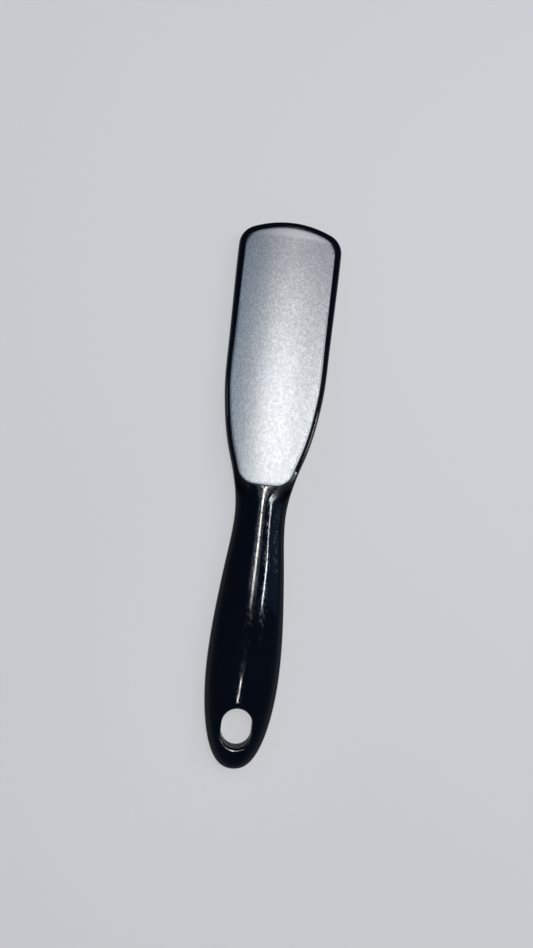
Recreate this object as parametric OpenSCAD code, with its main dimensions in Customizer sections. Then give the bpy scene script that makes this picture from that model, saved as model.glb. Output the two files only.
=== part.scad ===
// Two-sided foot file. Two moulded shells make the handle and the head, and a crowned
// steel file plate is bonded into a recess on each face, inside a raised rim.
// The file lies flat: X runs across it, Y from the butt to the tip and Z up. The origin
// is below the middle of its length, on the surface that it lies on.

/* [Length] */
// Length from the butt to the tip
total_l = 225; // [218:1:240]
// Butt to the fullest part of the grip
grip_l = 40; // [36:1:44]
// Fullest part of the grip to its waist
waist_l = 35; // [31:1:39]
// Waist to the narrowest part of the neck
neck_l = 23; // [20:1:26]
// Neck to the shoulder, where the head opens fastest
shoulder_l = 24; // [21:1:27]
// Shoulder to the flank
flank_l = 26; // [23:1:29]
// Flank to the start of the long side of the head
cheek_l = 18; // [16:1:20]

/* [Width] */
// Width of the grip at its fullest
grip_w = 29.2; // [27:0.2:32]
// Width of the waist
waist_w = 24.7; // [23:0.1:27]
// Width of the neck at its narrowest
neck_w = 20.8; // [19:0.1:22.5]
// Width at the shoulder
shoulder_w = 30.5; // [29:0.5:32]
// Width at the flank
flank_w = 41; // [39:0.2:42]
// Width where the long side of the head starts
cheek_w = 42.7; // [41:0.1:43.5]
// Width of the head at its tip end
head_w = 44.4; // [43:0.2:46]

/* [Outline] */
// How squarely the butt is rounded across its width
butt_square = 2.55; // [2.2:0.05:2.9]
// How squarely the butt is rounded along its length
butt_round = 2; // [1.8:0.05:2.3]
// Slope of the side at the waist
waist_slope = -0.098; // [-0.12:0.002:-0.08]
// Slope of the side at the shoulder
shoulder_slope = 0.332; // [0.3:0.002:0.36]
// Slope of the side at the flank
flank_slope = 0.114; // [0.1:0.002:0.13]
// Slope of the side where the long side of the head starts
cheek_slope = 0.012; // [0.008:0.001:0.02]
// Radius of the arc across the tip
tip_r = 50; // [44:1:60]
// Radius of the two corners beside the tip
corner_r = 8; // [6:0.5:9]

/* [Thickness] */
// Thickness of the grip at its fullest
grip_t = 12; // [11:0.5:14]
// Thickness of the neck
neck_t = 9.2; // [8.8:0.1:10.4]
// Thickness of the head over both file plates, along its middle
file_t = 8.8; // [8.4:0.1:9.6]
// Radius of the crown across each file plate
crown_r = 90; // [80:1:110]
// How full the grip's section is, where 2 is an ellipse
grip_full = 2.1; // [2:0.05:2.6]
// How full the butt is along its length
butt_full = 3.6; // [3:0.1:4]

// How far before the file plate the rounded grip starts to turn into the head
turn_l = 7; // [5:0.5:10]

/* [Rim] */
// Width of the rim at the tip and beside it
rim_w = 2.9; // [2.4:0.1:3.3]
// Width of the rim from the flank down
rim_low_w = 2.25; // [1.9:0.05:2.6]
// How far in the rim's rounded outer edge reaches
rim_edge_w = 1; // [0.8:0.1:1.4]
// How far the crest of the rim stands over the file plate
rim_rise = 0.35; // [0.2:0.05:0.5]
// How far past the lower edge of the plate the rim has risen in full
rim_run_l = 9; // [6:0.5:12]
// Bevel on each shell along the seam
seam_bevel = 0.2; // [0.1:0.05:0.3]

/* [File plates] */
// Thickness of a file plate
plate_t = 0.5; // [0.4:0.05:0.7]
// Thickness of the adhesive sheet under it
tape_t = 0.15; // [0.1:0.05:0.25]
// How far the adhesive sheet stops short of the plate's edge
tape_inset = 1; // [0.5:0.1:1.5]
// Neck to the lower edge of the plate
plate_start = 12.8; // [11:0.2:15]
// Radius of the plate's corners
plate_corner_r = 7.5; // [5:0.5:8]
// Gap between the plate's edge and its recess
plate_gap = 0.1; // [0.05:0.05:0.2]

/* [Hang slot] */
// Width of the slot
slot_w = 12; // [10:0.5:13]
// Length of the slot
slot_l = 14.8; // [13.6:0.2:16]
// Butt to the slot
slot_edge = 8.2; // [7:0.2:9]
// Radius of the slot's rounded mouth
mouth_r = 1.3; // [0.8:0.1:1.6]

/* [Inside] */
// Wall of the grip
wall_t = 2.2; // [1.8:0.1:2.6]
// Plastic under each plate's recess
bed_t = 1.4; // [1.2:0.1:1.6]
// Wall between the head's hollow and the plate's outline
head_wall_t = 1.6; // [1.2:0.1:2.4]
// Thickness of the ribs
rib_t = 1.2; // [1:0.1:1.6]
// Widest spacing of the ribs
rib_pitch = 14; // [12:1:18]
// Diameter of the locating pins
pin_d = 2.4; // [2:0.1:2.8]
// Length of a locating pin below the seam
pin_l = 2; // [1.6:0.1:2.2]
// Gap round a pin in its socket, and at its end
pin_gap = 0.1; // [0.05:0.05:0.2]
// Wall round a pin or a socket
boss_wall_t = 1.4; // [1.2:0.1:1.8]

/* [Hidden] */
// How far every cut runs past what it cuts
overrun = 1;

// Stations along the file, counted from the butt
waist_u = grip_l + waist_l;
neck_u = waist_u + neck_l;
shoulder_u = neck_u + shoulder_l;
flank_u = shoulder_u + flank_l;
cheek_u = flank_u + cheek_l;
plate_u = neck_u + plate_start;
slot_end_u = slot_edge + slot_l;

// The tip's arc and the corners that touch it and the sides
tip_centre_u = total_l - tip_r;
corner_x = head_w / 2 - corner_r;
corner_u = tip_centre_u + sqrt(pow(tip_r - corner_r, 2) - pow(corner_x, 2));
corner_turn = atan2(corner_u - tip_centre_u, corner_x);

// Each knot of the side is a station, a half width and a slope
side_knots = [
    [grip_l, grip_w / 2, 0],
    [waist_u, waist_w / 2, waist_slope],
    [neck_u, neck_w / 2, 0],
    [shoulder_u, shoulder_w / 2, shoulder_slope],
    [flank_u, flank_w / 2, flank_slope],
    [cheek_u, cheek_w / 2, cheek_slope],
    [corner_u, head_w / 2, 0]
];

// Steps along the butt, the side of the grip, the side of the head, a corner and half of the tip
butt_steps = 12;
grip_steps = 22;
head_steps = 20;
corner_steps = 6;
tip_steps = 5;
// Turns of the rounded outer edge of a shell, from the seam to the crest of the rim
edge_turns = [0, 22, 45, 67, 90];
// Shares of the way from the rim's inner edge to the middle
inner_shares = [0.24, 0.5, 0.76, 0.98];
// Share of the rim's rise that is left at its inner edge
inner_rise_share = 0.4;
ring_count = 1 + len(edge_turns) + 1 + len(inner_shares);

// Radii of the crowned layers under the file's face, all about one axis along Y
plate_under_r = crown_r - plate_t;
bed_r = plate_under_r - tape_t;
head_core_r = bed_r - bed_t;
crown_axis_z = file_t / 2 - crown_r;

mid_z = max(grip_t, file_t + 2 * rim_rise) / 2;
plate_end_u = total_l - rim_w;
boss_r = pin_d / 2 + boss_wall_t;

// Ends of the two hollows, and the ribs spread evenly between them
grip_hollow_us = [slot_end_u + wall_t, plate_u - wall_t];
head_hollow_us = [plate_u + head_wall_t, plate_end_u - head_wall_t];
function rib_stations(ends) =
    let (bays = ceil((ends[1] - ends[0]) / rib_pitch))
    [for (i = [1:bays - 1]) ends[0] + (ends[1] - ends[0]) * i / bays];
grip_ribs = rib_stations(grip_hollow_us);
head_ribs = rib_stations(head_hollow_us);
// The pins stand on the first and the last rib of each hollow
pin_stations = [for (row = [grip_ribs, head_ribs]) each [row[0], row[len(row) - 1]]];

// Turn at which the mouth's arc leaves the slot's wall
mouth_first_turn = 25;
// Steps along the hollow of the grip and round its section
hollow_steps = 20;
hollow_turns = 14;

function lerp(a, b, t) = a + (b - a) * t;
function ease(t) = let (c = min(max(t, 0), 1)) c * c * (3 - 2 * c);

// Cubic between two knots that meets both slopes
function cubic(a, b, u) =
    let (run = b[0] - a[0], t = (u - a[0]) / run, s = 3 * t * t - 2 * t * t * t)
    (1 - s) * a[1] + s * b[1] + run * t * (1 - t) * ((1 - t) * a[2] - t * b[2]);

function side_half(u, i = 0) =
    i == len(side_knots) - 2 || u <= side_knots[i + 1][0]
        ? cubic(side_knots[i], side_knots[i + 1], u)
        : side_half(u, i + 1);

function butt_point(a) =
    [grip_w / 2 * pow(sin(a), 2 / butt_square), grip_l * (1 - pow(cos(a), 2 / butt_round))];
function corner_point(a) = [corner_x + corner_r * cos(a), corner_u + corner_r * sin(a)];
function tip_point(a) = [tip_r * cos(a), tip_centre_u + tip_r * sin(a)];

side_us = concat(
    [for (i = [0:grip_steps - 1]) lerp(grip_l, plate_u, i / grip_steps)],
    [for (i = [0:head_steps]) lerp(plate_u, corner_u, i / head_steps)]
);

// Right half of the outline, from the butt to the tip
right_half = concat(
    [for (i = [0:butt_steps - 1]) butt_point(90 * i / butt_steps)],
    [for (u = side_us) [side_half(u), u]],
    [for (i = [1:corner_steps]) corner_point(corner_turn * i / corner_steps)],
    [for (i = [1:tip_steps - 1]) tip_point(lerp(corner_turn, 90, i / tip_steps))],
    [[0, total_l]]
);
half_count = len(right_half);
outline = concat(right_half, [for (i = [half_count - 2:-1:1]) [-right_half[i][0], right_half[i][1]]]);
loop_count = len(outline);

// Point of the outline moved inwards, square to it
function inset_point(i, d) =
    let (
        ahead = outline[(i + 1) % loop_count],
        behind = outline[(i + loop_count - 1) % loop_count],
        run = ahead - behind
    )
    outline[i] + d * [-run[1], run[0]] / norm(run);

function rim_width(u) = lerp(rim_low_w, rim_w, ease((u - flank_u) / (corner_u - flank_u)));

// Middle line that the rings close in on: one point for the whole butt and one for the tip
function middle_point(i) = [0, min(max(outline[i][1], grip_l), corner_u)];

// Heights over the seam, of the crown and of the rim on it
function crown_z(x) = crown_axis_z + sqrt(crown_r * crown_r - x * x);
function head_z(x, rise_share) = crown_z(x) + rim_rise * rise_share;

// Half width, crest and height of the grip's section at a station
function grip_side(u) = u < grip_l
    ? grip_w / 2 * pow(1 - pow(1 - u / grip_l, butt_round), 1 / butt_square)
    : side_half(u);
function dome(share, full) = pow(max(1 - pow(share, full), 0), 1 / full);
function grip_crest(u) = lerp(grip_t, neck_t, ease((u - grip_l) / (neck_u - grip_l))) / 2
    * dome(max(1 - u / grip_l, 0), butt_full);
function grip_z(x, u) = let (side = grip_side(u))
    side > 0 ? grip_crest(u) * dome(min(abs(x) / side, 1), grip_full) : 0;

// One vertex of a shell's outer skin, on loop position i and ring k
function skin_point(i, k) =
    let (
        on_seam = k == 0,
        on_edge = k <= len(edge_turns),
        turn = on_edge && !on_seam ? edge_turns[k - 1] : 90,
        rim = rim_width(outline[i][1]),
        rim_point = inset_point(i, rim),
        middle = middle_point(i),
        inner = max(k - len(edge_turns) - 1, 0),
        share = inner == 0 ? 0 : inner_shares[inner - 1],
        flat = on_seam ? inset_point(i, seam_bevel)
            : on_edge ? inset_point(i, rim_edge_w * (1 - cos(turn)))
            : lerp(rim_point, middle, share),
        rise_share = (on_edge ? 1 : inner_rise_share) * ease((flat[1] - plate_u) / rim_run_l),
        head = head_z(flat[0], rise_share) * sin(turn),
        z = lerp(grip_z(flat[0], flat[1]), head, ease((flat[1] - plate_u) / turn_l + 1))
    )
    [flat[0], flat[1], on_seam ? 0 : seam_bevel + max(z - seam_bevel, 0)];

// Outer skin of one shell, closed along the seam: rings of the loop, and a ladder over the middle
module skin() {
    points = [for (k = [0:ring_count - 1]) for (i = [0:loop_count - 1]) skin_point(i, k)];
    walls = [
        for (k = [0:ring_count - 2]) for (i = [0:loop_count - 1])
            let (j = (i + 1) % loop_count, a = k * loop_count, b = a + loop_count)
            each [[a + i, b + j, a + j], [a + i, b + i, b + j]]
    ];
    last = (ring_count - 1) * loop_count;
    ladder = [
        for (i = [0:half_count - 2])
            let (j = (loop_count - i) % loop_count, m = loop_count - i - 1)
            [i, i + 1, m, j]
    ];
    function split(q) = q[0] == q[3] ? [[q[0], q[1], q[2]]]
        : q[1] == q[2] ? [[q[0], q[1], q[3]]]
        : [[q[0], q[1], q[2]], [q[0], q[2], q[3]]];
    bottom = [for (q = ladder) each split(q)];
    top = [for (t = bottom) [last + t[0], last + t[2], last + t[1]]];
    polyhedron(points, concat(bottom, walls, top), convexity = 4);
}

// Flat outline of a file plate, grown by some length
module plate_outline(grow) {
    rim_loop = [for (i = [0:loop_count - 1]) inset_point(i, rim_width(outline[i][1]))];
    offset(delta = grow)
        offset(r = plate_corner_r, $fn = 64)
            offset(delta = -plate_corner_r)
                intersection() {
                    polygon(rim_loop);
                    translate([-head_w, plate_u])
                        square([2 * head_w, total_l]);
                }
}

// Round bar along Y whose top is the crown, or a layer of it further in
module crown_bar(r) {
    translate([0, -overrun, crown_axis_z])
        rotate([-90, 0, 0])
            cylinder(r = r, h = total_l + 2 * overrun, $fn = 256);
}

module crowned_layer(grow, outer_r, inner_r) {
    intersection() {
        linear_extrude(height = file_t)
            plate_outline(grow);
        difference() {
            crown_bar(outer_r);
            crown_bar(inner_r);
        }
    }
}

module recess() {
    difference() {
        linear_extrude(height = file_t)
            plate_outline(plate_gap);
        crown_bar(bed_r);
    }
}

// Rounded mouth of the slot, as the section that a cutter sweeps round it
module mouth_section() {
    centre_x = slot_w / 2 + mouth_r * cos(mouth_first_turn);
    arc = [for (i = [0:8]) let (a = 90 * i / 8) [centre_x - mouth_r * cos(a), mouth_r * sin(a) - mouth_r]];
    polygon(concat([[0, -mouth_r]], arc, [[centre_x, mouth_r], [0, mouth_r]]));
}

module slot_cut() {
    straight = slot_l - slot_w;
    first_u = slot_edge + slot_w / 2;
    low_z = grip_crest(slot_edge - mouth_r);
    high_z = grip_crest(slot_end_u + mouth_r);
    run = slot_l + 2 * mouth_r;
    for (end = [0, 1])
        translate([0, first_u + end * straight, -overrun])
            cylinder(d = slot_w, h = mid_z + 2 * overrun, $fn = 64);
    translate([-slot_w / 2, first_u, -overrun])
        cube([slot_w, straight, mid_z + 2 * overrun]);
    // The mouth follows the slope of the butt's face
    translate([0, slot_edge - mouth_r, low_z])
        rotate([atan2(high_z - low_z, run), 0, 0])
            translate([0, mouth_r + slot_w / 2, 0]) {
                for (end = [0, 1])
                    translate([0, end * straight, 0])
                        rotate_extrude($fn = 64)
                            mouth_section();
                for (side = [0, 1])
                    mirror([side, 0, 0])
                        rotate([90, 0, 180])
                            linear_extrude(height = straight)
                                mirror([1, 0])
                                    mouth_section();
            }
}

// Hollow of the grip, its sections drawn in from the outer ones by the wall
module grip_hollow() {
    function section(u) = [
        for (i = [0:hollow_turns])
            let (a = 180 * i / hollow_turns, c = cos(a), full = 2 / grip_full)
            [
                (grip_side(u) - wall_t) * sign(c) * pow(abs(c), full),
                u,
                (grip_crest(u) - wall_t) * pow(sin(a), full)
            ]
    ];
    row = hollow_turns + 3;
    points = [
        for (i = [0:hollow_steps])
            let (
                s = section(lerp(grip_hollow_us[0], grip_hollow_us[1], i / hollow_steps)),
                under = [0, 0, -overrun]
            )
            each concat([s[0] + under], s, [s[hollow_turns] + under])
    ];
    walls = [
        for (i = [0:hollow_steps - 1]) for (j = [0:row - 1])
            let (n = (j + 1) % row, a = i * row, b = a + row)
            each [[a + j, a + n, b + n], [a + j, b + n, b + j]]
    ];
    last = hollow_steps * row;
    near = [for (j = [1:row - 2]) [0, j + 1, j]];
    far = [for (j = [1:row - 2]) [last, last + j, last + j + 1]];
    polyhedron(points, concat(near, walls, far), convexity = 4);
}

module head_hollow() {
    intersection() {
        translate([0, 0, -overrun])
            linear_extrude(height = file_t)
                plate_outline(-head_wall_t);
        crown_bar(head_core_r);
    }
}

// Ribs across both hollows, three along the head, and a boss at each pin
module ribs() {
    for (u = concat(grip_ribs, head_ribs))
        translate([-head_w / 2, u - rib_t / 2, -2 * overrun])
            cube([head_w, rib_t, mid_z + 2 * overrun]);
    for (x = [-head_w / 6, 0, head_w / 6])
        translate([x - rib_t / 2, plate_u, -2 * overrun])
            cube([rib_t, total_l - plate_u, mid_z + 2 * overrun]);
    for (u = pin_stations)
        translate([0, u, -2 * overrun])
            cylinder(r = boss_r, h = mid_z + 2 * overrun, $fn = 48);
}

module shell() {
    difference() {
        skin();
        recess();
        slot_cut();
        difference() {
            union() {
                grip_hollow();
                head_hollow();
            }
            ribs();
        }
    }
}

// Puts what is drawn from the butt and the seam into the file's own place
module in_place() {
    translate([0, -total_l / 2, mid_z])
        children();
}

module front_shell() {
    color("#10161d")
        in_place() {
            shell();
            for (u = pin_stations)
                translate([0, u, -pin_l])
                    cylinder(d = pin_d, h = pin_l + bed_t, $fn = 32);
        }
}

module back_shell() {
    color("#10161d")
        in_place()
            mirror([0, 0, 1])
                difference() {
                    shell();
                    for (u = pin_stations)
                        translate([0, u, -overrun])
                            cylinder(d = pin_d + 2 * pin_gap, h = pin_l + pin_gap + overrun, $fn = 32);
                }
}

module fine_plate() {
    color("#c9cdd1")
        in_place()
            crowned_layer(0, crown_r, plate_under_r);
}

module coarse_plate() {
    color("#b9bdc2")
        in_place()
            mirror([0, 0, 1])
                crowned_layer(0, crown_r, plate_under_r);
}

module fine_plate_tape() {
    color("#e8e2cf")
        in_place()
            crowned_layer(-tape_inset, plate_under_r, bed_r);
}

module coarse_plate_tape() {
    color("#e8e2cf")
        in_place()
            mirror([0, 0, 1])
                crowned_layer(-tape_inset, plate_under_r, bed_r);
}

front_shell();
back_shell();
fine_plate();
coarse_plate();
fine_plate_tape();
coarse_plate_tape();
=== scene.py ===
import math
import bmesh
import bpy
import numpy as np
from mathutils import Euler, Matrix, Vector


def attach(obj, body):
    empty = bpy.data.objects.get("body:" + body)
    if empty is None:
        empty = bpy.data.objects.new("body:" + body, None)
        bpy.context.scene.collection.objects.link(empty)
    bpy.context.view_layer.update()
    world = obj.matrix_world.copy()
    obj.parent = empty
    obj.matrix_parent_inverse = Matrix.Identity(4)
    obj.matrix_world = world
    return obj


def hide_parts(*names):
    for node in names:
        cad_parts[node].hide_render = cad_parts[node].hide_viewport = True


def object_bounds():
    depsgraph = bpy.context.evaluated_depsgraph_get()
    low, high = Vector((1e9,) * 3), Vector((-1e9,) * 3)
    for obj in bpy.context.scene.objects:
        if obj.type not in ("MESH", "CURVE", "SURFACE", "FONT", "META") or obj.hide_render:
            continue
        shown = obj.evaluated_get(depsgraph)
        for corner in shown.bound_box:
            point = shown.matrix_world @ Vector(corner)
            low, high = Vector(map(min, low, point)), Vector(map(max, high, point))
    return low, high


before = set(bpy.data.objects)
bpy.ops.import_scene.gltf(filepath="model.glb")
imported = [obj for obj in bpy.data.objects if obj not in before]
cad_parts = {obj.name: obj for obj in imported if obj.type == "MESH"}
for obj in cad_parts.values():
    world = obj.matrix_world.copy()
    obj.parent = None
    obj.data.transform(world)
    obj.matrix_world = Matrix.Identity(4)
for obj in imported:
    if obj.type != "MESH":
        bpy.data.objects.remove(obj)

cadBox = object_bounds()
mm = 0.001
# The solids' box to a hundredth of a millimetre: across, along and up
boxSize = [round((high - low) / mm, 2) for low, high in zip(*cadBox)]

# Lengths below are in millimetres: u runs from the butt to the tip, x across, z up from the seam.
body = {
    "length": boxSize[1], "headW": boxSize[0], "seamHeight": boxSize[2] / 2,
    # station, width and slope of each knot of the side
    "grip": (40, 29.2, 0), "waist": (75, 24.7, -0.098), "neck": (98, 20.8, 0),
    "shoulder": (122, 30.5, 0.332), "flank": (148, 41, 0.114), "cheek": (166, 42.7, 0.012),
    "buttSquare": 2.55, "buttRound": 2, "tipR": 50, "cornerR": 8,
    "gripT": boxSize[2], "neckT": 9.2, "gripFull": 2.1, "buttFull": 3.6,
    "fileT": 8.8, "crownR": 90, "plateStart": 12.8, "turnL": 7,
    "rimW": 2.9, "rimLowW": 2.25, "rimEdge": 1, "rimRise": 0.35, "rimRun": 9, "seamBevel": 0.2,
    # the rim's inner edge keeps more of its rise than in the solids, so that it mirrors dark surroundings
    "rimInnerShare": 0.85, "rimHollow": 1.6,
}
slotCut = {"width": 12, "length": 14.8, "edge": 8.2, "mouthR": 1.3}
# The spine is the middle line that the plate and its bed close on, from over the plate's lower edge
# to beyond the centre of the tip's arc; the side's lean is the cosine of its usual slope
plateSeat = {"cornerR": 7.5, "gap": 0.1, "sheetT": 0.5, "tapeT": 0.15, "lipR": 0.2,
             "spineLow": 14, "spineHigh": 25, "runIn": 2, "sideLean": 0.985}
# How finely the curves behind the outlines are sampled
curveSteps = {"butt": 900, "side": 2500, "arc": 200, "seatSide": 1600, "seatCorner": 120, "slotEnd": 80,
              "line": 60}


def smoothStep(t):
    # three t squared less two t cubed, held between 0 and 1
    c = np.clip(t, 0, 1)
    return c * c * (3 - 2 * c)


gripL, gripW = body["grip"][:2]
neckU, flankU = body["neck"][0], body["flank"][0]
plateU = neckU + body["plateStart"]
tipCentreU = body["length"] - body["tipR"]
cornerX = body["headW"] / 2 - body["cornerR"]
cornerU = tipCentreU + math.sqrt((body["tipR"] - body["cornerR"]) ** 2 - cornerX ** 2)
cornerTurn = math.degrees(math.atan2(cornerU - tipCentreU, cornerX))
sideKnots = [body[name] for name in ("grip", "waist", "neck", "shoulder", "flank", "cheek")]
sideKnots = np.array(sideKnots + [(cornerU, body["headW"], 0)], float) * (1, 0.5, 1)
slotR = slotCut["width"] / 2
slotFirst = slotCut["edge"] + slotR
slotLast = slotCut["edge"] + slotCut["length"] - slotR


def halfWidth(u):
    # cubic between the two nearest knots that meets both of their slopes
    u = np.asarray(u, float)
    i = np.clip(np.searchsorted(sideKnots[:, 0], u) - 1, 0, len(sideKnots) - 2)
    a, b = sideKnots[i], sideKnots[i + 1]
    run = b[..., 0] - a[..., 0]
    t = (u - a[..., 0]) / run
    s = t * t * (3 - 2 * t)
    bend = run * t * (1 - t) * ((1 - t) * a[..., 2] - t * b[..., 2])
    return (1 - s) * a[..., 1] + s * b[..., 1] + bend


def rimWidth(u):
    # narrow up to the flank and full at the tip's corners
    grown = smoothStep((u - flankU) / (cornerU - flankU))
    return body["rimLowW"] + (body["rimW"] - body["rimLowW"]) * grown


def arc(cx, cu, r, fromDeg, toDeg, count):
    a = np.radians(np.linspace(fromDeg, toDeg, count))
    return np.stack([cx + r * np.cos(a), cu + r * np.sin(a)], 1)


def alongCurve(points):
    # length of the curve up to each of its points
    return np.concatenate([[0], np.cumsum(np.linalg.norm(np.diff(points, axis=0), axis=1))])


def pick(points, lengths, at):
    return np.stack([np.interp(at, lengths, points[:, 0]), np.interp(at, lengths, points[:, 1])], 1)


def spread(points, count, last=False):
    # count points spread evenly along a curve
    lengths = alongCurve(points)
    return pick(points, lengths, np.linspace(0, lengths[-1], count + 1)[: count + 1 if last else count])


def spreadAll(pieces, counts):
    # the same along curves that follow each other, and the end of the last one
    last = len(counts) - 1
    return np.concatenate([spread(p, c, last=k == last) for k, (p, c) in enumerate(zip(pieces, counts))])


def inwardNormals(points):
    run = np.gradient(points, axis=0)
    run /= np.linalg.norm(run, axis=1)[:, None]
    return np.stack([-run[:, 1], run[:, 0]], 1)


def rightOutline():
    # a butt that is a superellipse, the side, a corner and half of the tip
    a = np.radians(np.linspace(0, 90, curveSteps["butt"]))
    butt = np.stack([gripW / 2 * np.sin(a) ** (2 / body["buttSquare"]),
                     gripL * (1 - np.cos(a) ** (2 / body["buttRound"]))], 1)
    u = np.linspace(gripL, cornerU, curveSteps["side"])
    side = np.stack([halfWidth(u), u], 1)
    corner = arc(cornerX, cornerU, body["cornerR"], 0, cornerTurn, curveSteps["arc"])
    tip = arc(0, tipCentreU, body["tipR"], cornerTurn, 90, curveSteps["arc"])
    return np.concatenate([butt, side[1:], corner[1:], tip[1:]])


rightHalf = rightOutline()
rightLengths = alongCurve(rightHalf)
rightNormals = inwardNormals(rightHalf)
rightNormals[0] = (0, 1)
rightNormals[-1] = (0, -1)


def outlineAt(lengths):
    normals = pick(rightNormals, rightLengths, lengths)
    return pick(rightHalf, rightLengths, lengths), normals / np.linalg.norm(normals, axis=1)[:, None]


def lengthAtU(u):
    # on the side, where u grows steadily
    return np.interp(u, rightHalf[:, 1], rightLengths)


# The plate's outline is a core grown by its corner radius, so that its corners come out round
seatR = plateSeat["cornerR"]
coreTipR = body["tipR"] - body["rimW"] - seatR


def coreAlongSide():
    # the core's side, the way out from it, and the lengths along the outline that it faces
    lengths = np.linspace(lengthAtU(plateU - plateSeat["runIn"]), lengthAtU(cornerU), curveSteps["seatSide"])
    points, normals = outlineAt(lengths)
    core = points + normals * (rimWidth(points[:, 1]) + seatR)[:, None]
    out = -inwardNormals(core)
    inTip = (core[:, 1] < tipCentreU) | (np.hypot(core[:, 0], core[:, 1] - tipCentreU) <= coreTipR)
    keep = (core[:, 1] >= plateU + seatR) & inTip
    return core[keep], out[keep], lengths[keep]


coreSide, coreOut, seatLengths = coreAlongSide()


def seatPieces(grow):
    # right half of the plate's outline in its five pieces, grown by some length
    r = seatR + grow
    low, high = coreSide[0], coreSide[-1]
    lowTurn = math.degrees(math.atan2(coreOut[0][1], coreOut[0][0]))
    sideTurn = math.degrees(math.atan2(coreOut[-1][1], coreOut[-1][0]))
    highTurn = math.degrees(math.atan2(high[1] - tipCentreU, high[0]))
    across = np.linspace(0, low[0], curveSteps["line"])
    edge = np.stack([across, np.full(len(across), plateU + seatR - r)], 1)
    return [edge, arc(low[0], low[1], r, -90, lowTurn, curveSteps["seatCorner"]), coreSide + coreOut * r,
            arc(high[0], high[1], r, sideTurn, highTurn, curveSteps["seatCorner"]),
            arc(0, tipCentreU, coreTipR + r, highTurn, 90, curveSteps["arc"])]


def seatDistance(x, u):
    # how far a point lies outside the plate's outline: its way to the core, less the corner radius
    sideX = np.interp(u, coreSide[:, 1], coreSide[:, 0])
    low, high = coreSide[0], coreSide[-1]
    tipX = np.sqrt(np.maximum(coreTipR ** 2 - np.maximum(u - tipCentreU, 0) ** 2, 0))
    dx = np.maximum(np.abs(x) - np.minimum(sideX, tipX), 0)
    inBand = (u >= low[1]) & (u <= high[1])
    cornerLow = np.hypot(np.maximum(np.abs(x) - low[0], 0), low[1] - u)
    tipReach = np.hypot(x, u - tipCentreU) - coreTipR
    cornerHigh = np.where(np.abs(x) <= high[0], tipReach, np.hypot(np.abs(x) - high[0], u - high[1]))
    nearest = np.where(inBand, dx * plateSeat["sideLean"], np.where(u < low[1], cornerLow, cornerHigh))
    return nearest - seatR


def toSpine(loop):
    # the point of the plate's middle line that each point of a loop closes in on
    u = np.clip(loop[:, 1], plateU + plateSeat["spineLow"], tipCentreU + plateSeat["spineHigh"])
    return np.stack([np.zeros(len(loop)), u], 1)


def crownZ(x, depth=0):
    # height of the crown, or of a layer that lies that far under it
    r = body["crownR"] - depth
    return body["fileT"] / 2 - body["crownR"] + np.sqrt(r * r - x * x)


def dome(share, full):
    return np.maximum(1 - np.clip(share, 0, 1) ** full, 0) ** (1 / full)


def gripZ(x, u):
    # height of the middle line times the dome of the share of the half width that x is, held off zero width
    tiny = 1e-6
    toButt = np.clip(1 - u / gripL, 0, 1)
    half = body["gripT"] / 2 + (body["neckT"] - body["gripT"]) / 2 * smoothStep((u - gripL) / (neckU - gripL))
    wide = gripW / 2 * (1 - toButt ** body["buttRound"]) ** (1 / body["buttSquare"])
    wide = np.where(u < gripL, wide, halfWidth(np.maximum(u, gripL)))
    return half * dome(toButt, body["buttFull"]) * dome(np.abs(x) / np.maximum(wide, tiny), body["gripFull"])


def outlineDistance(x, u):
    # to the side at its own slope, to the arc across the tip or to the corner's arc, whichever a point faces
    step = 0.05
    ax, low = np.abs(x), np.clip(u, gripL, cornerU)
    slope = (halfWidth(low + step) - halfWidth(low - step)) / (2 * step)
    toSide = (halfWidth(low) - ax) / np.sqrt(1 + slope ** 2)
    toTip = body["tipR"] - np.hypot(x, u - tipCentreU)
    toCorner = body["cornerR"] - np.hypot(ax - cornerX, u - cornerU)
    turn = np.degrees(np.arctan2(u - cornerU, ax - cornerX))
    nearest = np.where((turn >= 0) & (turn <= cornerTurn), toCorner, np.minimum(toSide, toTip))
    return np.where(u < tipCentreU, toSide, nearest)


def slotDistance(x, u):
    # how far a point lies outside the slot
    return np.hypot(x, u - np.clip(u, slotFirst, slotLast)) - slotR


def roundDrop(distance, r):
    # drop of a quarter-round edge at some distance from it
    return r - np.sqrt(np.maximum(r * r - np.maximum(r - np.maximum(distance, 0), 0) ** 2, 0))


def skinZ(x, u, outer, inner):
    # grip blended into head, less the round of the slot's mouth and of the plate's seat
    rim = rimWidth(u)
    inwards = np.clip((outer - body["rimEdge"]) / (rim - body["rimEdge"]), 0, 1)
    share = 1 - (1 - body["rimInnerShare"]) * inwards ** body["rimHollow"]
    share = share * smoothStep((u - plateU) / body["rimRun"])
    turn = np.sqrt(np.maximum(1 - np.maximum(1 - outer / body["rimEdge"], 0) ** 2, 0))
    head = (crownZ(x) + body["rimRise"] * share) * turn
    blend = smoothStep((u - plateU) / body["turnL"] + 1)
    z = gripZ(x, u) * (1 - blend) + head * blend
    z = z - roundDrop(slotDistance(x, u), slotCut["mouthR"]) - roundDrop(inner, plateSeat["lipR"])
    return np.maximum(z, body["seamBevel"])


def mirrored(rings):
    # rings over the right half, from the butt to the tip, become rings round the whole loop
    left = rings[:, -2:0:-1] * (-1, 1, 1)
    return np.concatenate([rings, left], 1)


def bothSides(rings):
    # rings over the right half, followed back by their mirror image
    return np.concatenate([rings, (rings * (-1, 1, 1))[:, ::-1]], 1)


def flipped(patches):
    # the same patches on the other side of the seam
    return [((grid * (1, 1, -1))[::-1], closed) for grid, closed in patches]


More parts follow.
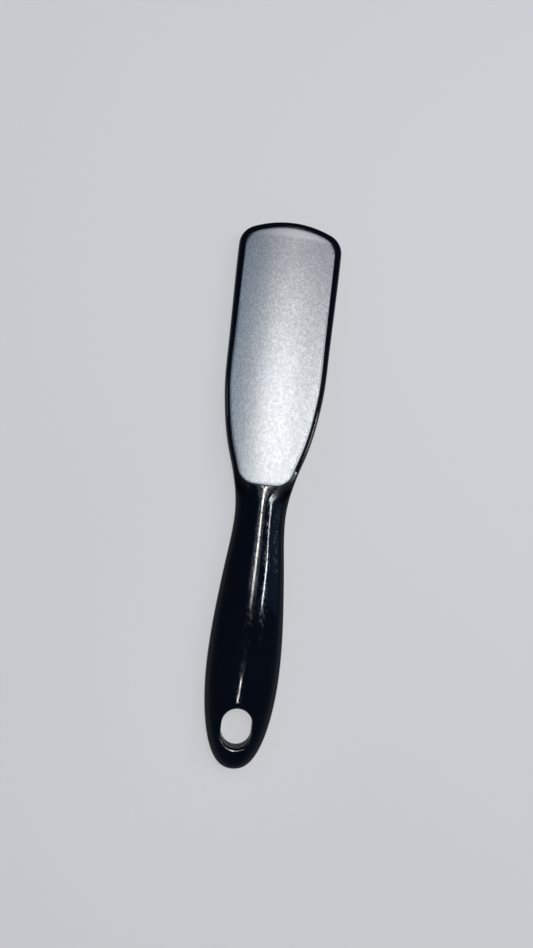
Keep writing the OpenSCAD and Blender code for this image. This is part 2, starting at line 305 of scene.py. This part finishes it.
def gridFaces(rows, columns, start, closed):
    # quads of a grid of rows by columns whose first vertex is start
    k, i = np.meshgrid(np.arange(rows - 1), np.arange(columns if closed else columns - 1), indexing="ij")
    j = (i + 1) % columns
    quads = np.stack([k * columns + i, k * columns + j, (k + 1) * columns + j, (k + 1) * columns + i], -1)
    return quads.reshape(-1, 4) + start


def joined(patches):
    # patches are (grid of points, closed along its columns); equal points are merged, flat faces dropped
    points, faces, start = [], [], 0
    for grid, closed in patches:
        points.append(grid.reshape(-1, 3))
        faces.append(gridFaces(grid.shape[0], grid.shape[1], start, closed))
        start += grid.shape[0] * grid.shape[1]
    decimals = 5
    # adding nothing turns minus zero into zero, so that the two merge
    points = np.round(np.concatenate(points), decimals) + 0.0
    points, index = np.unique(points, axis=0, return_inverse=True)
    faces = index.reshape(-1)[np.concatenate(faces)]
    same = faces == np.roll(faces, -1, axis=1)
    once = same.sum(axis=1) == 1
    return points, faces[~same.any(axis=1)], faces[once][~same[once]].reshape(-1, 3)


def makeMesh(name, patches, cut=None, sharpDeg=35):
    # cut holds teeth that stand on the patches; their points follow the others, and their faces stay flat
    points, quads, triangles = joined(patches)
    if cut is not None:
        triangles = np.concatenate([triangles, cut["faces"] + len(points)])
        points = np.concatenate([points, cut["points"]])
    mesh = bpy.data.meshes.new(name)
    placed = points * mm + np.array([0, -body["length"] / 2, body["seamHeight"]]) * mm
    corners = np.concatenate([quads.reshape(-1), triangles.reshape(-1)]).astype(np.int32)
    mesh.vertices.add(len(placed))
    mesh.vertices.foreach_set("co", placed.astype(np.float32).reshape(-1))
    mesh.loops.add(len(corners))
    mesh.loops.foreach_set("vertex_index", corners)
    starts = np.concatenate([np.arange(len(quads)) * 4, len(quads) * 4 + np.arange(len(triangles)) * 3])
    mesh.polygons.add(len(starts))
    mesh.polygons.foreach_set("loop_start", starts.astype(np.int32))
    mesh.update(calc_edges=True)
    mesh.validate()
    work = bmesh.new()
    work.from_mesh(mesh)
    bmesh.ops.recalc_face_normals(work, faces=work.faces)
    work.to_mesh(mesh)
    work.free()
    smooth = np.ones(len(mesh.polygons), dtype=bool)
    if cut is not None:
        smooth[-len(cut["faces"]):] = False
    mesh.polygons.foreach_set("use_smooth", smooth)
    mesh.set_sharp_from_angle(angle=math.radians(sharpDeg))
    piece = bpy.data.objects.new(name, mesh)
    bpy.context.scene.collection.objects.link(piece)
    print(name, len(mesh.vertices), "vertices", len(mesh.polygons), "faces")
    return piece


# Shells: rings from the seam in to the slot, the middle line and the plate's seat
shellGrid = {
    # points along the slot, the middle line and the five pieces of the seat's outline
    "counts": (72, 130, 20, 22, 130, 24, 22),
    # stations at which the outline faces the slot's far end, and the middle and end of the plate's lower edge
    "facing": (24, 103, 109.5),
    # the close rings take up the mouth's radius for this many points of the middle line, and then narrow
    # to this many of the lip's radii
    "mouthHold": 90, "lipZone": 1.2,
    "edgeRings": 14, "fieldRings": 20, "lipRings": 9, "wallRings": 6, "bedRings": 5, "seamRings": 4,
}
shellStarts = np.concatenate([[0], np.cumsum(shellGrid["counts"])])


def innerLine():
    # what the outline closes in on: the slot, the middle line and the seat
    steps = curveSteps["slotEnd"]
    slotEnds = [arc(0, slotFirst, slotR, -90, 0, steps), arc(0, slotLast, slotR, 0, 90, steps)]
    seat = seatPieces(plateSeat["gap"])
    between = np.linspace(slotLast + slotR, seat[0][0, 1], curveSteps["line"])
    middle = np.stack([np.zeros(len(between)), between], 1)
    return spreadAll([np.concatenate(slotEnds), middle] + seat, shellGrid["counts"])


def outerLine():
    # points of the outline that face those of the inner line, and their normals
    cornerEnd = lengthAtU(cornerU) + body["cornerR"] * math.radians(cornerTurn)
    marks = [0] + [lengthAtU(u) for u in shellGrid["facing"]]
    marks += [seatLengths[0], seatLengths[-1], cornerEnd, rightLengths[-1]]
    counts = enumerate(shellGrid["counts"])
    lengths = [np.linspace(marks[k], marks[k + 1], c, endpoint=False) for k, c in counts]
    return outlineAt(np.concatenate(lengths + [[marks[-1]]]))


def shellSkin(outer, normals, inner):
    # rings from the seam over the rounded edge and in over the skin
    turns = np.radians(np.linspace(0, 90, shellGrid["edgeRings"]))
    insets = body["rimEdge"] * (1 - np.cos(turns))
    edge = outer[None] + insets[:, None, None] * normals[None]
    gap = inner - edge[-1]
    reach = np.linalg.norm(gap, axis=1)
    # the last rings lie close together, over the round of the mouth or of the lip
    mouth, lip = slotCut["mouthR"], plateSeat["lipR"] * shellGrid["lipZone"]
    bends = [0, shellStarts[1] + shellGrid["mouthHold"], shellStarts[2], len(inner)]
    zone = np.interp(np.arange(len(inner)), bends, [mouth, mouth, lip, lip])
    far = np.linspace(0, 1, shellGrid["fieldRings"])[1:, None] * (1 - zone / reach)[None]
    closing = 1 - np.sin(np.linspace(0, np.pi / 2, shellGrid["lipRings"]))
    near = 1 - closing[1:, None] * (zone / reach)[None]
    t = np.concatenate([far, near])
    flat = np.concatenate([edge, edge[-1][None] + t[:, :, None] * gap[None]])
    x, u = flat[..., 0], flat[..., 1]
    outerGap = outlineDistance(x, u)
    outerGap[:len(insets)] = insets[:, None]
    # below the plate's corners the way to the seat is measured to its core, and above them along the rings
    toCore = np.hypot(np.maximum(np.abs(x) - coreSide[0, 0], 0), plateU + seatR - u)
    edgeGap = np.broadcast_to(reach[None] + body["rimEdge"], edge.shape[:2])
    ringGap = np.concatenate([edgeGap, (1 - t) * reach[None]])
    innerGap = np.where(u < plateU + seatR, toCore - seatR - plateSeat["gap"], ringGap)
    skin = np.concatenate([flat, skinZ(x, u, outerGap, innerGap)[..., None]], 2)
    seam = np.concatenate([outer + body["seamBevel"] * normals, np.zeros((len(outer), 1))], 1)
    return np.concatenate([seam[None], skin])


def slotWall(mouth):
    # from the mouth down to the seam, with the seam's bevel
    bevel = body["seamBevel"]
    out = np.stack([mouth[:, 0], mouth[:, 1] - np.clip(mouth[:, 1], slotFirst, slotLast)], 1) / slotR
    low = np.concatenate([mouth[:, :2], np.full((len(mouth), 1), bevel)], 1)
    seam = np.concatenate([mouth[:, :2] + bevel * out, np.zeros((len(mouth), 1))], 1)
    steps = np.linspace(0, 1, shellGrid["wallRings"])[:, None, None]
    return np.concatenate([mouth[None] + (low - mouth)[None] * steps, seam[None]])


def plateBed(lip):
    # a wall down from the lip, and a bed that closes on the plate's middle line
    shares = np.linspace(0, 1, shellGrid["bedRings"])[:, None, None]
    flat = lip[None, :, :2] + (toSpine(lip) - lip[:, :2])[None] * shares
    bed = np.concatenate([flat, crownZ(flat[..., 0], plateSeat["sheetT"] + plateSeat["tapeT"])[..., None]], 2)
    return np.concatenate([lip[None], bed])


def seamFace(seam, slotSeam):
    # flat face on the seam, from the slot and the middle line out to the outline
    rest = len(seam) - len(slotSeam)
    line = np.linspace(slotLast + slotR + body["seamBevel"], cornerU, rest + 1)[1:]
    inner = np.concatenate([slotSeam, np.stack([np.zeros(rest), line, np.zeros(rest)], 1)])
    steps = np.linspace(0, 1, shellGrid["seamRings"])[:, None, None]
    return (seam[None] + (inner - seam)[None] * steps)[::-1]


def shellPatches():
    outer, normals = outerLine()
    skin = shellSkin(outer, normals, innerLine())
    wall = slotWall(skin[-1, : shellStarts[1] + 1])
    bed = plateBed(skin[-1, shellStarts[2]: shellStarts[-1] + 1])
    face = seamFace(skin[0], wall[-1])
    return [(mirrored(skin), True), (bothSides(wall), False), (bothSides(bed), False), (mirrored(face), True)]


# Less polished places, hard to reach in the mould: two saddles beside the neck's end, which are
# turned ellipses, and the inside of the rim
saddle = {"x": 9.5, "u": 110.3, "turnDeg": 45, "length": 6.2, "width": 2.8, "rimReach": 0.7, "rimShare": 0.4,
          "rough": 0.3, "shine": -0.44}


def softenGloss(piece):
    place = np.empty(len(piece.data.vertices) * 3, np.float32)
    piece.data.vertices.foreach_get("co", place)
    place = place.reshape(-1, 3) / mm
    x, u = place[:, 0], place[:, 1] + body["length"] / 2
    aside, up, turn = np.abs(x) - saddle["x"], u - saddle["u"], math.radians(saddle["turnDeg"])
    along = (aside * math.cos(turn) + up * math.sin(turn)) / saddle["length"]
    across = (up * math.cos(turn) - aside * math.sin(turn)) / saddle["width"]
    inRim = np.exp(-(seatDistance(x, u) / saddle["rimReach"]) ** 2) * saddle["rimShare"]
    value = np.maximum(np.exp(-(across ** 2 + along ** 2) ** 2), inRim)
    dull = piece.data.attributes.new("dullness", "FLOAT", "POINT")
    dull.data.foreach_set("value", value.astype(np.float32))


shell = shellPatches()
frontShell = makeMesh("frontShell", shell)
backShell = makeMesh("backShell", flipped(shell))
for piece, node in ((frontShell, "front_shell"), (backShell, "back_shell")):
    softenGloss(piece)
    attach(piece, "root")
    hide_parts(node)


# File plates: a crowned sheet with its cut teeth standing on it
finePlate = {"pitch": 0.79, "base": 0.84, "height": 0.1, "flat": 0.93, "lean": 0.01, "jitter": 0.01,
             "spin": 0.5, "tones": (0.35, 0.9), "margin": 0.75, "seed": 4, "bareFrom": 217.6}
coarsePlate = {"pitch": 1.45, "base": 1.15, "height": 0.2, "flat": 0.25, "lean": 0.12, "jitter": 0.02,
               "spin": 1.57, "tones": (0.15, 1.0), "margin": 0.9, "seed": 9, "bareFrom": 216.8}
plateGrid = {"counts": (14, 26, 110, 24, 26), "rings": 22, "underRings": 6, "edgeRings": 5, "edgeR": 0.14}
# How deep a tooth's foot is sunk, how its size and height vary, and the tone of the bare end, where no teeth
# stand, so the painted shade between them is left off
toothShape = {"sunk": 0.03, "sizes": (0.92, 1.08), "heights": (0.8, 1.15), "bareTone": 0.75, "bareRun": 1.2}


def platePatches():
    loop = spreadAll(seatPieces(0), plateGrid["counts"])
    spine = toSpine(loop)
    away = loop - spine
    away /= np.linalg.norm(away, axis=1)[:, None]
    turns = np.linspace(0, np.pi / 2, plateGrid["edgeRings"])[:, None, None]
    r = plateGrid["edgeR"]
    rounded = loop[None] - away[None] * r * (1 - np.cos(turns))
    drop = (r * (1 - np.sin(turns)))[..., 0]
    shares = np.linspace(0, 1, plateGrid["rings"])[1:, None, None]
    inside = rounded[-1][None] + (spine - rounded[-1])[None] * shares
    flat = np.concatenate([rounded, inside])
    drop = np.concatenate([drop, np.zeros((len(inside), 1))])
    top = np.concatenate([flat, (crownZ(flat[..., 0]) - drop)[..., None]], 2)
    under = loop[None] + (spine - loop)[None] * np.linspace(0, 1, plateGrid["underRings"])[:, None, None]
    under = np.concatenate([under, crownZ(under[..., 0], plateSeat["sheetT"])[..., None]], 2)
    return [(mirrored(np.concatenate([under[::-1], top])), True)]


def teeth(cut):
    # low four-sided teeth on a triangular lattice, in rows along the file
    pitch = cut["pitch"]
    reach = math.ceil(body["headW"] / 2 / (pitch * math.sqrt(3) / 2))
    rows = np.arange(-reach, reach + 1)[:, None]
    steps = np.arange(math.ceil((body["length"] - plateU) / pitch))[None, :]
    x, u = np.broadcast_arrays(rows * pitch * math.sqrt(3) / 2, plateU + (steps + 0.5 * (rows % 2)) * pitch)
    kept = (seatDistance(x, u) <= -cut["margin"]) & (u < cut["bareFrom"])
    x, u = x[kept], u[kept]
    rng = np.random.default_rng(cut["seed"])
    x = x + rng.normal(0, pitch * cut["jitter"], len(x))
    u = u + rng.normal(0, pitch * cut["jitter"], len(u))
    spin = rng.uniform(0, cut["spin"], len(x))
    size = cut["base"] / 2 * rng.uniform(*toothShape["sizes"], len(x))
    tall = cut["height"] * rng.uniform(*toothShape["heights"], len(x))
    lean = rng.normal(0, cut["lean"], (len(x), 2)) * size[:, None]
    quarter = spin[:, None] + np.arange(4)[None] * math.pi / 2
    foot = np.stack([np.cos(quarter), np.sin(quarter)], -1) * size[:, None, None]
    # each tooth has the four corners of its foot, then those of its top
    points = np.zeros((len(x), 8, 3))
    points[:, :4, :2] = foot
    points[:, 4:, :2] = foot * cut["flat"] + lean[:, None, :]
    points[..., 0] += x[:, None]
    points[..., 1] += u[:, None]
    points[..., 2] = crownZ(points[..., 0])
    points[:, :4, 2] -= toothShape["sunk"]
    points[:, 4:, 2] += tall[:, None]
    tones = np.repeat(rng.uniform(*cut["tones"], len(x)), 8)
    pattern = []
    for k in range(4):
        n = (k + 1) % 4
        pattern += [(k, n, n + 4), (k, n + 4, k + 4)]
    pattern += [(4, 5, 6), (4, 6, 7), (3, 2, 1), (3, 1, 0)]
    faces = np.array(pattern)[None] + (np.arange(len(x)) * 8)[:, None, None]
    return {"points": points.reshape(-1, 3), "faces": faces.reshape(-1, 3), "tones": tones,
            "bareFrom": cut["bareFrom"]}


def makePlate(name, patches, cut):
    # each tooth has its own tone, and the sheet that it stands on has none, which leaves it at the dark
    # colour of painted shade between the teeth, but where its end is left bare and gets a lighter tone
    piece = makeMesh(name, patches, cut)
    sheetU = joined(patches)[0][:, 1]
    bare = toothShape["bareTone"] * smoothStep((sheetU - cut["bareFrom"]) / toothShape["bareRun"] + 0.5)
    tone = piece.data.attributes.new("toothTone", "FLOAT", "POINT")
    tone.data.foreach_set("value", np.concatenate([bare, cut["tones"]]).astype(np.float32))
    return piece


fine = makePlate("fineFilePlate", platePatches(), teeth(finePlate))
coarseTeeth = teeth(coarsePlate)
coarseTeeth["points"] = coarseTeeth["points"] * (1, 1, -1)
coarse = makePlate("coarseFilePlate", flipped(platePatches()), coarseTeeth)
for piece, node, slot in ((fine, "fine_plate", "fine_file_metal"),
                          (coarse, "coarse_plate", "coarse_file_metal")):
    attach(piece, "root")
    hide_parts(node)


# Node groups, each built once and placed in the materials with their own values
def newGroup(name, inputs, outputs):
    group = bpy.data.node_groups.new(name, "ShaderNodeTree")
    for label, kind, value in inputs:
        group.interface.new_socket(label, in_out="INPUT", socket_type=kind).default_value = value
    for label, kind in outputs:
        group.interface.new_socket(label, in_out="OUTPUT", socket_type=kind)
    return group, group.nodes.new("NodeGroupInput"), group.nodes.new("NodeGroupOutput")


def feed(tree, socket, value):
    # a link where the value is a socket, or else a constant
    if isinstance(value, bpy.types.NodeSocket):
        tree.links.new(value, socket)
    else:
        socket.default_value = value


def addMath(tree, operation, *values, clamp=False):
    node = tree.nodes.new("ShaderNodeMath")
    node.operation = operation
    node.use_clamp = clamp
    for socket, value in zip(node.inputs, values):
        feed(tree, socket, value)
    return node.outputs[0]


def addNoise(tree, vector, scale, detail, rough):
    node = tree.nodes.new("ShaderNodeTexNoise")
    for label, value in (("Vector", vector), ("Scale", scale), ("Detail", detail), ("Roughness", rough)):
        feed(tree, node.inputs[label], value)
    return node.outputs["Fac"]


# Usual scale, detail and roughness of the grain's two noises
grainNoise = {"Patches": (40, 3, 0.5), "Grain": (1500, 2, 0.6)}


def surfaceGrain():
    # noises of the object's own coordinates: a wide one for patches and a fine one for the skin's grain
    number = "NodeSocketFloat"
    inputs = [(f"{label} Scale", number, scale) for label, (scale, detail, rough) in grainNoise.items()]
    group, given, out = newGroup("surfaceGrain", inputs, [(label, number) for label in grainNoise])
    place = group.nodes.new("ShaderNodeTexCoord").outputs["Object"]
    for label, (scale, detail, rough) in grainNoise.items():
        noise = addNoise(group, place, given.outputs[f"{label} Scale"], detail, rough)
        group.links.new(noise, out.inputs[label])
    return group


grainGroup = surfaceGrain()


def newMaterial(name, colour, roughness, metallic=0.0):
    material = bpy.data.materials.new(name)
    material.use_nodes = True
    shader = material.node_tree.nodes["Principled BSDF"]
    shader.inputs["Base Color"].default_value = (*colour, 1)
    shader.inputs["Roughness"].default_value = roughness
    shader.inputs["Metallic"].default_value = metallic
    return material, material.node_tree, shader


def addGrain(tree, finish):
    node = tree.nodes.new("ShaderNodeGroup")
    node.node_tree = grainGroup
    node.inputs["Patches Scale"].default_value = finish["patches"]
    node.inputs["Grain Scale"].default_value = finish["grain"]
    return node.outputs["Patches"], node.outputs["Grain"]


def ramp(tree, factor, stops):
    node = tree.nodes.new("ShaderNodeValToRGB")
    node.color_ramp.elements[0].position = stops[0][0]
    node.color_ramp.elements[0].color = (*stops[0][1], 1)
    node.color_ramp.elements[1].position = stops[-1][0]
    node.color_ramp.elements[1].color = (*stops[-1][1], 1)
    for place, colour in stops[1:-1]:
        node.color_ramp.elements.new(place).color = (*colour, 1)
    tree.links.new(factor, node.inputs["Fac"])
    return node.outputs["Color"]


def bump(tree, shader, height, finish):
    node = tree.nodes.new("ShaderNodeBump")
    node.inputs["Strength"].default_value = finish["bump"]
    node.inputs["Distance"].default_value = finish["depth"]
    tree.links.new(height, node.inputs["Height"])
    tree.links.new(node.outputs["Normal"], shader.inputs["Normal"])


# In each finish, patches and grain are the scales of the two noises, ends are where the patches' ramp
# starts and stops, and depth is the bump's in metres
# sheet is the colour between the teeth, darkened as painted shade; top is the teeth's own colour
fineFinish = {"sheet": (0.39, 0.40, 0.42), "top": (0.88, 0.87, 0.86), "cool": (0.96, 0.98, 1.0),
              "ends": (0.3, 0.7), "rough": (0.46, 0.42), "patches": 60, "grain": 3000, "speckle": 1.15,
              "bump": 0.1, "depth": 0.00005}
coarseFinish = {"sheet": (0.40, 0.40, 0.40), "top": (0.97, 0.96, 0.945), "cool": (0.96, 0.98, 1.0),
                "ends": (0.3, 0.7), "rough": (0.46, 0.36), "patches": 60, "grain": 2600, "speckle": 0.9,
                "bump": 0.3, "depth": 0.00005}
plastic = {"dark": (0.0003, 0.0008, 0.0022), "light": (0.0007, 0.0017, 0.0042), "ends": (0.35, 0.7),
           "rough": 0.03, "spread": 0.03, "shine": 0.5, "patches": 45, "grain": 2600,
           "pits": 1400, "pitReach": 0.42, "pitPower": 2.0, "pitDepth": 1.2, "grainDepth": 0.12,
           "bump": 1.0, "depth": 0.00002}
adhesive = {"plain": (0.62, 0.56, 0.42), "dark": (0.55, 0.49, 0.36), "light": (0.68, 0.62, 0.48),
            "ends": (0.3, 0.7), "rough": 0.7, "patches": 90, "grain": 1800, "bump": 0.4, "depth": 0.00003}


def patchColour(tree, patches, finish, first, second):
    low, high = finish["ends"]
    return ramp(tree, patches, [(low, first), (high, second)])


def blackPlastic():
    material, tree, shader = newMaterial("glossBlackPlastic", plastic["dark"], plastic["rough"])
    patches, grain = addGrain(tree, plastic)
    colour = patchColour(tree, patches, plastic, plastic["dark"], plastic["light"])
    tree.links.new(colour, shader.inputs["Base Color"])
    # grain varies the roughness about its own value, and the dull places are rougher and shine less
    dull = tree.nodes.new("ShaderNodeAttribute")
    dull.attribute_name = "dullness"
    rough = addMath(tree, "MULTIPLY_ADD", grain, plastic["spread"], plastic["rough"] - plastic["spread"] / 2)
    rough = addMath(tree, "MULTIPLY_ADD", dull.outputs["Fac"], saddle["rough"], rough)
    tree.links.new(rough, shader.inputs["Roughness"])
    shine = addMath(tree, "MULTIPLY_ADD", dull.outputs["Fac"], saddle["shine"], plastic["shine"])
    tree.links.new(shine, shader.inputs["Specular IOR Level"])
    # round pits about the points of a scatter, deeper where the wide noise is high, over a faint grain
    place = tree.nodes.new("ShaderNodeTexCoord")
    scatter = tree.nodes.new("ShaderNodeTexVoronoi")
    scatter.inputs["Scale"].default_value = plastic["pits"]
    tree.links.new(place.outputs["Object"], scatter.inputs["Vector"])
    pit = addMath(tree, "DIVIDE", scatter.outputs["Distance"], plastic["pitReach"])
    pit = addMath(tree, "SUBTRACT", 1.0, pit, clamp=True)
    pit = addMath(tree, "POWER", pit, plastic["pitPower"])
    pit = addMath(tree, "MULTIPLY", pit, patches)
    pit = addMath(tree, "MULTIPLY", pit, plastic["pitDepth"])
    height = addMath(tree, "MULTIPLY_ADD", grain, plastic["grainDepth"], pit)
    bump(tree, shader, height, plastic)
    return material


def fileMetal(name, finish):
    # the sheet between the teeth is painted dark as shade, and matt; each tooth is brighter by its own tone,
    # with a fine speckle over both
    matt, bright = finish["rough"]
    material, tree, shader = newMaterial(name, finish["sheet"], matt, 1.0)
    patches, grain = addGrain(tree, finish)
    tone = tree.nodes.new("ShaderNodeAttribute")
    tone.attribute_name = "toothTone"
    speckle = addMath(tree, "MULTIPLY_ADD", grain, finish["speckle"], -finish["speckle"] / 2)
    shade = addMath(tree, "ADD", tone.outputs["Fac"], speckle, clamp=True)
    tint = tree.nodes.new("ShaderNodeMix")
    tint.data_type = "RGBA"
    tint.blend_type = "MULTIPLY"
    tint.inputs["Factor"].default_value = 1
    # tone 0 gives the sheet's painted shade, tone 1 the teeth's own top colour
    tree.links.new(ramp(tree, shade, [(0.0, finish["sheet"]), (1.0, finish["top"])]), tint.inputs["A"])
    tree.links.new(patchColour(tree, patches, finish, finish["cool"], (1, 1, 1)), tint.inputs["B"])
    tree.links.new(tint.outputs["Result"], shader.inputs["Base Color"])
    tree.links.new(addMath(tree, "MULTIPLY_ADD", shade, bright - matt, matt), shader.inputs["Roughness"])
    bump(tree, shader, grain, finish)
    return material


def tapeMaterial():
    material, tree, shader = newMaterial("adhesiveSheet", adhesive["plain"], adhesive["rough"])
    patches, grain = addGrain(tree, adhesive)
    colour = patchColour(tree, patches, adhesive, adhesive["dark"], adhesive["light"])
    tree.links.new(colour, shader.inputs["Base Color"])
    bump(tree, shader, grain, adhesive)
    return material


def dress(piece, material):
    piece.data.materials.clear()
    piece.data.materials.append(material)


black = blackPlastic()
dress(frontShell, black)
dress(backShell, black)
dress(fine, fileMetal("fineFileMetal", fineFinish))
dress(coarse, fileMetal("coarseFileMetal", coarseFinish))
tape = tapeMaterial()
for name in ("fine_plate_tape", "coarse_plate_tape"):
    dress(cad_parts[name], tape)
print("materials done")


# Floor, lights and camera, in metres
stage = {"floorSize": 2.4, "floorDrop": 0.0002, "floor": (0.42, 0.44, 0.46), "floorRough": 0.9,
         # what the floor glows with to the camera, and how much of that it shows
         "glow": (0.97, 0.985, 1.0), "share": 0.5, "backdrop": (0.62, 0.64, 0.66),
         # world colours by the sine of the height over the horizon
         "sky": [(0.0, (0.34, 0.38, 0.42)), (0.1, (0.22, 0.26, 0.31)), (0.3, (0.13, 0.16, 0.21)),
                 (0.5, (0.065, 0.09, 0.14)), (0.7, (0.04, 0.065, 0.12))]}


def makeFloor():
    half = stage["floorSize"] / 2
    mesh = bpy.data.meshes.new("floor")
    corners = [(-half, -half, 0), (half, -half, 0), (half, half, 0), (-half, half, 0)]
    mesh.from_pydata(corners, [], [(0, 1, 2, 3)])
    floor = bpy.data.objects.new("floor", mesh)
    bpy.context.scene.collection.objects.link(floor)
    floor.location.z = -stage["floorDrop"]
    material, tree, shader = newMaterial("paleFloor", stage["floor"], stage["floorRough"])
    shader.inputs["Specular IOR Level"].default_value = 0
    glow = tree.nodes.new("ShaderNodeEmission")
    glow.inputs["Color"].default_value = (*stage["glow"], 1)
    mix = tree.nodes.new("ShaderNodeMixShader")
    path = tree.nodes.new("ShaderNodeLightPath")
    seen = addMath(tree, "MULTIPLY", path.outputs["Is Camera Ray"], stage["share"])
    tree.links.new(seen, mix.inputs[0])
    tree.links.new(shader.outputs[0], mix.inputs[1])
    tree.links.new(glow.outputs[0], mix.inputs[2])
    tree.links.new(mix.outputs[0], tree.nodes["Material Output"].inputs["Surface"])
    dress(floor, material)


def makeWorld():
    # pale round the horizon and dim overhead, as in a pale room, and a plain backdrop to the camera
    world = bpy.data.worlds.new("studio")
    world.use_nodes = True
    tree = world.node_tree
    place = tree.nodes.new("ShaderNodeTexCoord")
    parts = tree.nodes.new("ShaderNodeSeparateXYZ")
    tree.links.new(place.outputs["Generated"], parts.inputs[0])
    sky = ramp(tree, parts.outputs["Z"], stage["sky"])
    path = tree.nodes.new("ShaderNodeLightPath")
    mix = tree.nodes.new("ShaderNodeMix")
    mix.data_type = "RGBA"
    mix.inputs["B"].default_value = (*stage["backdrop"], 1)
    tree.links.new(path.outputs["Is Camera Ray"], mix.inputs["Factor"])
    tree.links.new(sky, mix.inputs["A"])
    tree.links.new(mix.outputs["Result"], tree.nodes["Background"].inputs["Color"])
    bpy.context.scene.world = world


# Each lamp stands where the surface mirrors it into the highlight that it makes. Its values are centre,
# size across and along, brightness of its face where 1 is white, and colour. Where it has them, the
# degrees of turn about its own middle, lean towards the butt, tilt to the left and grid's spread follow.
warm, white, cool = (1.0, 0.94, 0.87), (1.0, 0.99, 0.97), (0.86, 0.93, 1.0)
lamps = {
    "keyLight": ((0.040, 0.148, 0.50), (0.055, 0.106), 15.3, warm),
    "keyEnd": ((0.015, 0.218, 0.50), (0.084, 0.034), 7, warm),
    "panelMiddle": ((0.02, 0.16, 0.502), (0.16, 0.12), 2, (0.8, 0.95, 1.0)),
    "panelFar": ((0.44, 0.125, 0.502), (0.32, 0.08), 15, (1.0, 0.97, 0.93)),
    "panelLeft": ((-0.42, 0.17, 0.50), (0.24, 0.06), 5.5, (0.5, 0.8, 1.0)),
    "panelSide": ((0.53, 0.045, 0.503), (0.66, 0.14), 0.2, (0.3, 0.6, 1.0)),
    "stripLight": ((0.0255, 0.066, 0.499), (0.020, 0.056), 34, white, -5),
    "stripFade": ((0.020, -0.016, 0.50), (0.020, 0.108), 52, white, -9, 10, 2.5, 17),
    "stripHalo": ((0.025, 0.04, 0.501), (0.10, 0.12), 0.9, (0.7, 0.85, 1.0), -5),
    "stripEnd": ((0.0005, -0.1645, 0.50), (0.0065, 0.041), 38, (1.0, 1.0, 1.0), -25),
    "edgeLine": ((0.1765, -0.0045, 0.499), (0.012, 0.073), 44, cool, -38),
    "edgeLineEnd": ((0.1565, 0.0465, 0.4985), (0.007, 0.093), 36, cool, 69),
}


def makeLamp(name, centre, size, bright, colour, turn=0, lean=0, tilt=0, gridSpread=180):
    light = bpy.data.lights.new(name, "AREA")
    light.shape = "RECTANGLE"
    light.size, light.size_y = size
    # a grid narrows the light, so the power goes down with half its angle over that half's tangent
    half = math.radians(gridSpread) / 2
    light.energy = bright * math.pi * size[0] * size[1] * (1 - half / math.tan(half))  # watts
    light.color = colour
    light.spread = math.radians(gridSpread)
    lamp = bpy.data.objects.new(name, light)
    lamp.location = centre
    lamp.rotation_euler = Euler([math.radians(v) for v in (-lean, tilt, turn)], "XYZ")
    bpy.context.scene.collection.objects.link(lamp)


# Camera above the handle and a little to the left, its long side along the file
cameraSpot = {"place": (-0.00912, -0.03925, 0.29572), "turn": (8.1145, -2.8584, 6.3865), "nearest": 0.01,
              # focal length and long side of the picture in its own pixels
              "focal": 712, "longSide": 948, "sensor": 36}


def makeCamera():
    data = bpy.data.cameras.new("camera")
    data.sensor_width = cameraSpot["sensor"]
    data.lens = cameraSpot["focal"] / cameraSpot["longSide"] * cameraSpot["sensor"]
    data.clip_start = cameraSpot["nearest"]
    camera = bpy.data.objects.new("camera", data)
    camera.location = cameraSpot["place"]
    camera.rotation_euler = [math.radians(v) for v in cameraSpot["turn"]]
    bpy.context.scene.collection.objects.link(camera)
    bpy.context.scene.camera = camera


makeFloor()
makeWorld()
for name, values in lamps.items():
    makeLamp(name, *values)
makeCamera()
bpy.context.scene.view_settings.view_transform = "Standard"
print("stage done")
